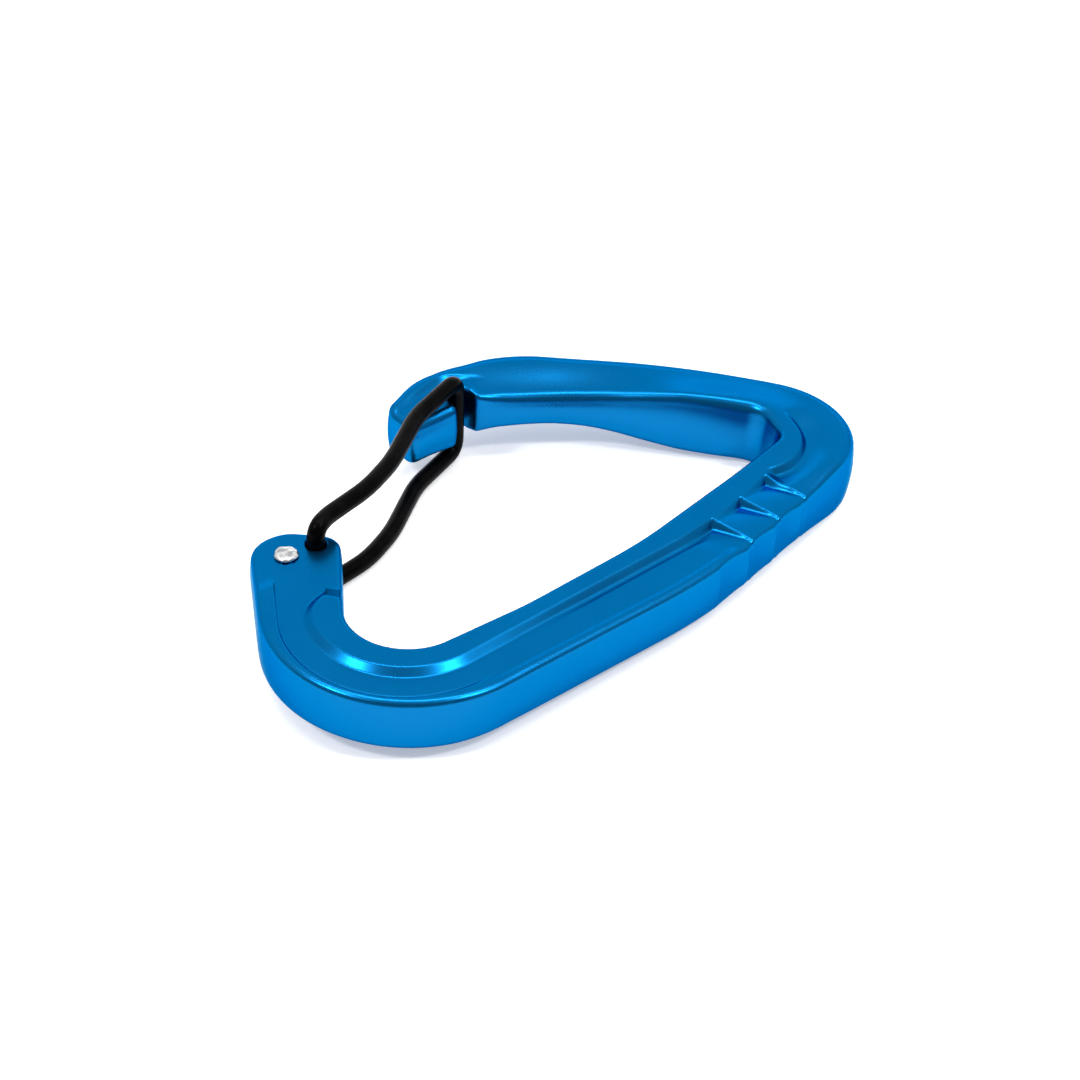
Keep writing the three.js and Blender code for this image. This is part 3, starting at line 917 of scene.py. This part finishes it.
def floor():
    """Pale table that the gate's lower leg and the basket's edge rest on."""
    wire_a = to_row([[*LOWER_HOLE, LOW_LEG_Z - WIRE_RADIUS]])[0]
    wire_b = to_row([[*CROSSPIECE, LOW_LEG_Z - WIRE_RADIUS]])[0]
    line = wire_b - wire_a
    line /= np.linalg.norm(line)
    sideways = np.cross([0, 0, 1], line)
    offsets = to_row(body_vertices)[::5] - wire_a
    reach = offsets @ sideways
    away = np.abs(reach) > TILT_REACH
    slopes = (offsets[away] @ [0, 0, 1]) / reach[away]
    steepest = slopes[np.abs(slopes).argmin()]
    far = wire_a + 0.05 * (sideways + np.array([0, 0, 1]) * steepest)
    normal = np.cross(wire_b - wire_a, far - wire_a)
    normal /= np.linalg.norm(normal)
    if normal[2] < 0:
        normal = -normal
    centre = (wire_a + wire_b + far) / 3 - normal * TABLE_GAP
    side = np.cross(normal, [0, 1, 0])
    side /= np.linalg.norm(side)
    other = np.cross(normal, side)
    size = TABLE_HALF_SIZE
    square = ((-1, -1), (1, -1), (1, 1), (-1, 1))
    corners = np.array([centre + size * (a * side + b * other) for a, b in square])
    material, nodes, links, shader = new_material("pale_table")
    shader.inputs["Base Color"].default_value = (TABLE_TONE, TABLE_TONE, TABLE_TONE, 1)
    shader.inputs["Roughness"].default_value = 0.9
    shader.inputs["Specular IOR Level"].default_value = 0.1
    shader.inputs["Emission Color"].default_value = (1, 1, 1, 1)
    shader.inputs["Emission Strength"].default_value = FLOOR_GLOW
    plane = mesh_object("table", corners, [[0, 1, 2, 3]], material)


FAR_SIDE = 49.0           # azimuth of the side the camera looks toward
NEAR_SKY = 0.34
FAR_SKY = 1.05

# Name, azimuth, elevation, distance, width, height and power of each light.
LIGHTS = [
    ("left_box", 168, 50, 1.0, 0.14, 0.14, 3.0),
    ("right_box", -66, 55, 1.0, 0.14, 0.14, 3.0),
    ("top_box", 49, 85, 1.1, 1.2, 0.14, 6.0),
    ("back_box", 49, 20, 1.4, 1.4, 0.12, 1.2),
    ("near_box", 229, 60, 1.2, 1.0, 0.25, 0.3),
]

CAMERA_LENS = 73.33
CAMERA_PLACE = Vector((-159.25, -185.6, 192.45)) * MM
CAMERA_TARGET = Vector((-0.44, -3.01, 3.4)) * MM
CAMERA_ROLL = math.radians(3.0)


def softbox(name, azimuth, elevation, distance, width, height, power):
    """Rectangular light that faces the origin; angles in degrees, sizes in metres."""
    light = bpy.data.lights.new(name, "AREA")
    light.shape = "RECTANGLE"
    light.size = width
    light.size_y = height
    light.energy = power
    holder = bpy.data.objects.new(name, light)
    a, e = math.radians(azimuth), math.radians(elevation)
    direction = Vector((math.cos(a) * math.cos(e), math.sin(a) * math.cos(e), math.sin(e)))
    holder.location = direction * distance
    holder.rotation_mode = "QUATERNION"
    holder.rotation_quaternion = direction.to_track_quat("Z", "Y")
    bpy.context.scene.collection.objects.link(holder)


def world():
    """Soft studio surroundings: dim behind the camera, brighter on the far side."""
    sky = bpy.data.worlds.new("studio")
    sky.use_nodes = True
    nodes, links = sky.node_tree.nodes, sky.node_tree.links
    back = nodes["Background"]
    where = nodes.new("ShaderNodeTexCoord")
    dot = nodes.new("ShaderNodeVectorMath")
    dot.operation = "DOT_PRODUCT"
    a = math.radians(FAR_SIDE)
    dot.inputs[1].default_value = (math.cos(a), math.sin(a), 0)
    links.new(where.outputs["Generated"], dot.inputs[0])
    blend = nodes.new("ShaderNodeValToRGB")
    links.new(mapped(nodes, links, dot.outputs["Value"], -1, 1, 0, 1), blend.inputs["Fac"])
    blend.color_ramp.interpolation = "EASE"
    first, last = blend.color_ramp.elements
    first.position, last.position = 0.15, 0.85
    first.color = (NEAR_SKY, NEAR_SKY, NEAR_SKY, 1)
    last.color = (FAR_SKY, FAR_SKY, FAR_SKY, 1)
    links.new(blend.outputs["Color"], back.inputs["Color"])
    back.inputs["Strength"].default_value = 1.0
    bpy.context.scene.world = sky


def camera():
    """Camera from CAMERA_PLACE to CAMERA_TARGET, rolled by CAMERA_ROLL."""
    data = bpy.data.cameras.new("camera")
    data.lens = CAMERA_LENS
    data.sensor_width = 36
    data.clip_start = 0.01
    data.clip_end = 20
    holder = bpy.data.objects.new("camera", data)
    away = (CAMERA_TARGET - CAMERA_PLACE).normalized()
    right = away.cross(Vector((0, 0, 1))).normalized()
    up = right.cross(away)
    turn_cos, turn_sin = math.cos(CAMERA_ROLL), math.sin(CAMERA_ROLL)
    camera_right = right * turn_cos + up * turn_sin
    camera_up = up * turn_cos - right * turn_sin
    basis = np.array([camera_right, camera_up, -away]).T
    holder.matrix_world = Matrix.Translation(CAMERA_PLACE) @ Matrix(basis.tolist()).to_4x4()
    bpy.context.scene.collection.objects.link(holder)
    bpy.context.scene.camera = holder


floor()
world()
for light_values in LIGHTS:
    softbox(*light_values)
camera()
bpy.context.scene.view_settings.view_transform = "Standard"
